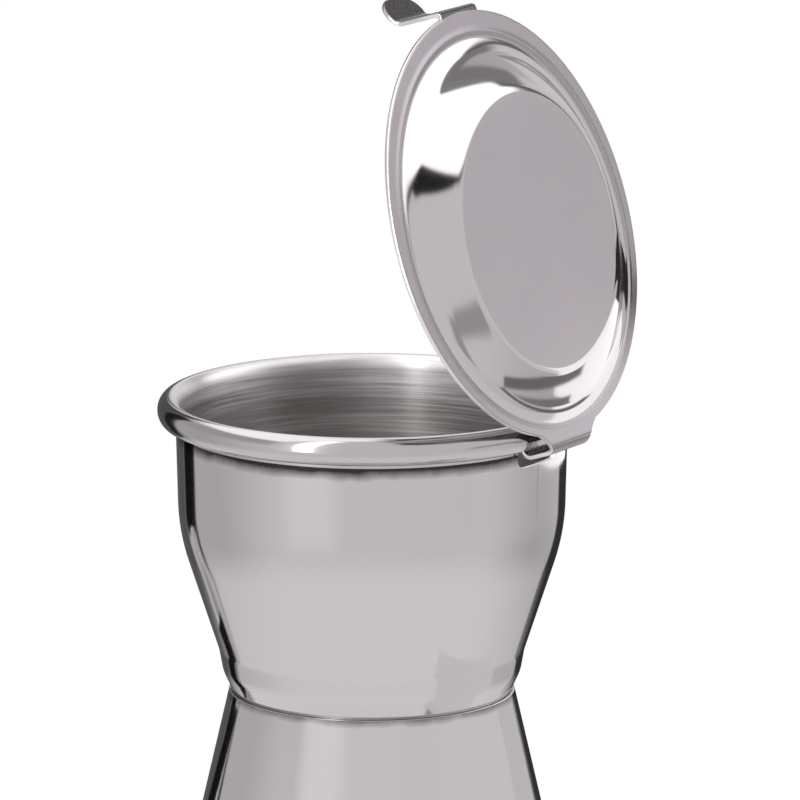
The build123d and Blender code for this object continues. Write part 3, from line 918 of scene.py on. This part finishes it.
def makeLid():
    columns = lid["columns"]
    rows = lidProfile()
    flat, faces, zones = [domePlace(0, lid["dome"], 0)], [], []
    for radius, height, _ in rows:
        for i in range(columns):
            angle = 2 * math.pi * i / columns
            flat.append(domePlace(radius, height, angle))
    for i in range(columns):
        faces.append((0, 1 + i, 1 + (i + 1) % columns))
        zones.append("disc")
    for row in range(1, len(rows)):
        here, there = 1 + (row - 1) * columns, 1 + row * columns
        for i in range(columns):
            j = (i + 1) % columns
            faces.append((here + i, there + i, there + j, here + j))
            zones.append(rows[row][2])
    rim = 1 + (len(rows) - 1) * columns

    def addStrip(middle, half, steps, place, zone, closing=None):
        edge = [rim + (middle + i) % columns for i in range(-half, half + 1)]
        for step in steps:
            new = []
            for i in range(-half, half + 1):
                flat.append(place(step, i / half))
                new.append(len(flat) - 1)
            for k in range(len(new) - 1):
                faces.append((edge[k], new[k], new[k + 1], edge[k + 1]))
                zones.append(zone)
            edge = new
        if closing:
            flat.append(closing)
            for k in range(len(edge) - 1):
                faces.append((edge[k], len(flat) - 1, edge[k + 1]))
                zones.append(zone)

    rootHalf = lid["radius"] * math.sin(2 * math.pi * lid["tongueColumns"] / columns)
    rootEdge = math.sqrt(lid["radius"] ** 2 - rootHalf ** 2)
    flareLength = lid["tongueFlare"]

    def tonguePlace(step, share):
        y = rootHalf * share
        arc = math.sqrt(lid["radius"] ** 2 - y ** 2)
        fade = max(0, 1 - step / flareLength)
        half = lid["tongueHalf"] + (rootHalf - lid["tongueHalf"]) * fade ** 2
        return (arc * fade + rootEdge * (1 - fade) + step, half * share, 0)

    long = lid["axisReach"] + lid["curlEnd"] - rootEdge
    steps = [flareLength * i / 12 for i in range(1, 13)]
    steps += [flareLength + (long - flareLength) * i / 44 for i in range(1, 45)]
    addStrip(0, lid["tongueColumns"], steps, tonguePlace, "tongue")

    tabHalf = lid["radius"] * math.sin(2 * math.pi * lid["tabColumns"] / columns)
    tabEdge = math.sqrt(lid["radius"] ** 2 - tabHalf ** 2)
    flare = math.radians(90 - lid["paddleTilt"])
    corner = lid["sheet"] / 2 * math.tan(flare / 2)
    fold = lid["foldBend"] * math.pi / 2
    taper = fold + lid["foldRun"]  # the tab is full wide up to here
    neck = fold + lid["tabDrop"] + lid["sheet"] / 2 - lid["foldBend"] - corner  # length down to the flare
    slack = lid["flareBend"] * (2 * math.tan(flare / 2) - flare)  # what the rounded flare saves

    def tabPlace(step, share):
        y = tabHalf * share
        arc = math.sqrt(lid["radius"] ** 2 - y ** 2)
        fade = max(0, 1 - step / lid["tabRoot"])
        length = step - (lid["foldStart"] - tabEdge)
        if length < taper:
            half = tabHalf
        elif length < neck:
            half = tabHalf + (lid["neckHalf"] - tabHalf) * (length - taper) / (neck - taper)
        else:
            past = (length - neck + corner + slack / 2 - lid["paddleReach"]) / lid["paddleLength"]
            half = lid["paddleHalf"] * math.sqrt(max(0, 1 - past ** 2))
        return (-(arc * fade + tabEdge * (1 - fade) + step), -half * share, 0)

    tip = neck - corner - slack + lid["paddleReach"] + lid["paddleLength"]
    steps = [0.12 * i for i in range(1, 12)]  # as close at its root as the eased edge is wide
    steps += [1.32 + (neck - 1.32) * i / 26 for i in range(1, 27)]
    steps += [neck + (tip - neck) * math.sin(math.pi / 2 * i / 24) for i in range(1, 24)]
    closing = (-(tabEdge + tip), 0, 0)
    addStrip(columns // 2, lid["tabColumns"], steps, tabPlace, "tab", closing)

    swing = math.radians(lid["openAngle"])
    away = Vector((math.cos(swing), 0, -math.sin(swing)))
    up = Vector((math.sin(swing), 0, math.cos(swing)))
    origin = Vector((lid["hinge"][0], 0, lid["hinge"][1]))
    points = []
    for x, y, height in flat:
        bent = bendLid(x, y, height)
        points.append((origin + away * bent.x + Vector((0, 1, 0)) * bent.y + up * bent.z) * mm)
    mesh = bpy.data.meshes.new("hingedLid")
    mesh.from_pydata(points, [], faces)
    sheetMap = mesh.uv_layers.new(name="sheet")  # the flat drawing, 100 mm to one
    for loop in mesh.loops:
        x, y, _ = flat[loop.vertex_index]
        sheetMap.data[loop.index].uv = (x / 100 + 0.5, y / 100 + 0.5)
    # the tab's darker finish is painted shade
    finishes = {"flange": satinFlange, "foot": buffedWall, "wall": buffedWall, "disc": blastedDisc,
                "tongue": satinFlange, "tab": shadedTab}
    order = list(finishes)
    for material in finishes.values():
        mesh.materials.append(material)
    for material in [millUnderside] * (len(order) - 1) + [shadedTab] + [cutEdge] * len(order):
        mesh.materials.append(material)
    for face, zone in zip(mesh.polygons, zones):
        face.material_index = order.index(zone)
        face.use_smooth = True
    piece = placeObject("hingedLid", mesh)
    solid = piece.modifiers.new("thickness", "SOLIDIFY")
    solid.thickness = lid["sheet"] * mm
    solid.offset = -1
    solid.use_quality_normals = True
    solid.material_offset = len(order)
    solid.material_offset_rim = 2 * len(order)
    ease = piece.modifiers.new("easedEdges", "BEVEL")
    ease.width = lid["edgeEase"] * mm
    ease.segments = 2
    ease.limit_method = "ANGLE"
    ease.angle_limit = math.radians(60)
    ease.use_clamp_overlap = False
    useModifiers(piece)
    sharpenEdges(piece.data)
    settlePiece(piece, "lid", "lid_steel", "lid")


makeCone()
makeBase()
makeCup()
makeSpout()
makeCollar()
makeHandle()
makePads()
makeLid()
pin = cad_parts["hinge_pin"]
# the pin's dark grey is painted shade
pin.data.materials.clear()
pin.data.materials.append(shadedWire)


# studio: a pale floor, one soft lamp, and a light tent whose panels and cards only the metal sees.
# Their azimuth is measured from the way the camera looks, positive to its right
studio = {
    "white": 1.0, "diffuse": 0.8, "tent": 0.87,
    "floorRadius": 620, "floorRings": 24, "floorSides": 96, "floorDrop": 0.05, "floorFade": (120, 400),
    "lampEnergy": 0.9, "lampAngle": 35, "lampTurn": (38, -20, 20),
    "panels": [  # azimuth from and to, elevation from and to, softness, rise per degree, level
        ((-100, 5), (-95, 32), 28, 0, 0.62),
        ((-5, 85), (-95, -9), 28, 0, 0.5),
        ((-125, 3), (38, 120), 5, 0, 1.7),
        ((-125, -52), (10, 38), 5, 0, 0.55),
        ((-158, -128), (-20, 40), 8, 0, 1.0),
        ((-33, 1), (-29, 34), 2, 0, 0.11),
        ((-50, -33), (-17, 30), 1, 0, 0.008),
        ((-50, -46.5), (-32, -16), 0.8, 0, 0.02),
        ((-9, 9), (16, 60), 2, 0, 1.3),
        ((2.5, 32.5), (-30, -7), 1.5, 0, 0.035),
        ((14, 30), (16, 50), 4, 0, 0.6),
        ((29, 50), (24, 75), 3, -0.2, 0.3),
        ((44, 64), (27, 36), 2, -1.6, 0.16),
        ((46, 67), (37, 110), 1.5, -1.75, 1.9),
        ((63, 160), (5.5, 90), 1.5, 0.62, 1.9),
        ((44, 61), (34, 120), 2, 2, 0.33),
        ((63, 160), (-14, 5), 1, 0.62, 0.02),
        ((61, 111), (-14, 3.8), 1, 0.55, 0.86),
        ((109, 160), (-60, 30), 1.5, 0.27, 0.86),
        ((98, 126), (-9.5, -1), 2, -0.12, 0.45),
    ],
    "cards": {  # upright cards round the cup: azimuth, distance, corners across and up, level
        "brightCard": (30, 70, ((13, 144.5), (86, 138), (86, 182), (13, 167)), 1.5),
        "darkCard": (30, 70, ((8, 168.5), (62, 183), (62, 190), (8, 181)), 0.03),
        "arcCard": (85, 70, ((-9, 158.5), (38, 152), (38, 157), (-9, 163.5)), 0.2),
        "arcCardLow": (85, 70, ((-6, 148.9), (38, 148.9), (38, 150.4), (-6, 152.5)), 0.25),
        "blackCardHigh": (-40, 55, ((-33.5, 136), (-22, 136), (-30, 185), (-39, 185)), 0.008),
        "blackCardLow": (-40, 40, ((-24.3, 102.5), (-15.6, 102.5), (-17.2, 119.6), (-25.8, 119.6)), 0.008),
        "shadeCard": (121.4, 30, ((-8, 104.2), (13, 104.2), (13, 123), (-8, 123)), 0.87),
        "streakCard": (-150, 100, ((-5, 149), (9, 149), (9, 400), (-5, 400)), 5),
    },
}


def makeWorld():
    world = bpy.data.worlds.new("lightTent")
    world.use_nodes = True
    scene.world = world
    tree = world.node_tree
    tree.nodes.clear()
    turn = math.radians(camera["azimuth"])
    way = addNode(tree, "ShaderNodeTexCoord").outputs["Generated"]
    shares = []
    for axis in ((math.cos(turn), math.sin(turn), 0), (-math.sin(turn), math.cos(turn), 0)):
        along = addNode(tree, "ShaderNodeVectorMath", {0: way, 1: axis}, operation="DOT_PRODUCT")
        shares.append(along.outputs["Value"])
    angle = addNode(tree, "ShaderNodeMath", {0: shares[0], 1: shares[1]}, operation="ARCTAN2")
    azimuth = addNode(tree, "ShaderNodeMath", {0: angle}, operation="DEGREES")
    parts = addNode(tree, "ShaderNodeSeparateXYZ", {0: way})
    tilt = addNode(tree, "ShaderNodeMath", {0: parts.outputs[2]}, operation="ARCSINE")
    elevation = addNode(tree, "ShaderNodeMath", {0: tilt}, operation="DEGREES")
    level = studio["tent"]
    for (left, right), (low, high), soft, slope, value in studio["panels"]:
        tipped = {0: azimuth, 1: slope, 2: -slope * left}
        lean = addNode(tree, "ShaderNodeMath", tipped, operation="MULTIPLY_ADD")
        rise = addNode(tree, "ShaderNodeMath", {0: elevation, 1: lean}, operation="SUBTRACT")
        mask = 1
        for source, edge, first, last in (
            (azimuth, left, 0, 1), (azimuth, right, 1, 0), (rise, low, 0, 1), (rise, high, 1, 0),
        ):
            span = {0: source, 1: edge - soft, 2: edge + soft, 3: first, 4: last}
            side = addNode(tree, "ShaderNodeMapRange", span, interpolation_type="SMOOTHSTEP")
            mask = addNode(tree, "ShaderNodeMath", {0: mask, 1: side}, operation="MULTIPLY")
        level = addNode(tree, "ShaderNodeMix", {0: mask, 2: level, 3: value}, data_type="FLOAT")
    path = addNode(tree, "ShaderNodeLightPath")
    inMetal = {0: path.outputs["Is Glossy Ray"], 2: studio["diffuse"], 3: level}
    metal = addNode(tree, "ShaderNodeMix", inMetal, data_type="FLOAT")
    direct = {0: path.outputs["Is Camera Ray"], 1: path.outputs["Is Transmission Ray"]}
    seen = addNode(tree, "ShaderNodeMath", direct, operation="MAXIMUM")
    strength = addNode(tree, "ShaderNodeMix", {0: seen, 2: metal, 3: studio["white"]}, data_type="FLOAT")
    light = addNode(tree, "ShaderNodeBackground", {0: (1, 1, 1, 1), 1: strength})
    addNode(tree, "ShaderNodeOutputWorld", {0: light})


def makeCards():  # seen only in the metal
    for name, (azimuth, distance, corners, level) in studio["cards"].items():
        turn = math.radians(90 + camera["azimuth"] - azimuth)
        away = Vector((math.cos(turn), math.sin(turn), 0))
        side = Vector((away.y, -away.x, 0))
        points = [away * distance + side * across + Vector((0, 0, up)) for across, up in corners]
        card = makePiece(name, points, [(0, 1, 2, 3)])
        material, tree = newMaterial(name)
        glow = addNode(tree, "ShaderNodeEmission", {0: (1, 1, 1, 1), 1: level})
        addNode(tree, "ShaderNodeOutputMaterial", {0: glow})
        card.data.materials.append(material)
        card.visible_camera = card.visible_diffuse = card.visible_shadow = False


def makeFloor():
    rings, sides, drop = studio["floorRings"], studio["floorSides"], -studio["floorDrop"]
    points = [(0, 0, drop)]
    for r in range(1, rings + 1):
        away = studio["floorRadius"] * r / rings
        turns = [math.tau * i / sides for i in range(sides)]
        points += [(away * math.cos(a), away * math.sin(a), drop) for a in turns]
    faces = [(0, 1 + i, 1 + (i + 1) % sides) for i in range(sides)]
    for r in range(rings - 1):
        here, there = 1 + r * sides, 1 + (r + 1) * sides
        for i in range(sides):
            j = (i + 1) % sides
            faces.append((here + i, there + i, there + j, here + j))
    floor = makePiece("floor", points, faces)
    if floor.data.polygons[0].normal.z < 0:
        floor.data.flip_normals()
    material, tree = newMaterial("whitePaper")  # matte white paper that fades into the white background
    place = addNode(tree, "ShaderNodeTexCoord").outputs["Object"]
    away = addNode(tree, "ShaderNodeVectorMath", {0: place}, operation="LENGTH").outputs["Value"]
    start, end = studio["floorFade"]
    span = {0: away, 1: start * mm, 2: end * mm, 3: 0, 4: 1}
    fade = addNode(tree, "ShaderNodeMapRange", span, interpolation_type="SMOOTHSTEP")
    paper = addNode(tree, "ShaderNodeBsdfDiffuse", {0: (1, 1, 1, 1)})
    clear = addNode(tree, "ShaderNodeBsdfTransparent")
    mixed = addNode(tree, "ShaderNodeMixShader", {0: fade, 1: paper, 2: clear})
    addNode(tree, "ShaderNodeOutputMaterial", {0: mixed})
    floor.data.materials.append(material)


def makeLamp():
    lamp = bpy.data.lights.new("softLamp", "SUN")
    lamp.energy = studio["lampEnergy"]
    lamp.angle = math.radians(studio["lampAngle"])
    holder = placeObject("softLamp", lamp)
    holder.rotation_euler = [math.radians(turn) for turn in studio["lampTurn"]]
    holder.visible_glossy = False


makeWorld()
makeCards()
makeFloor()
makeLamp()
print("studio made")
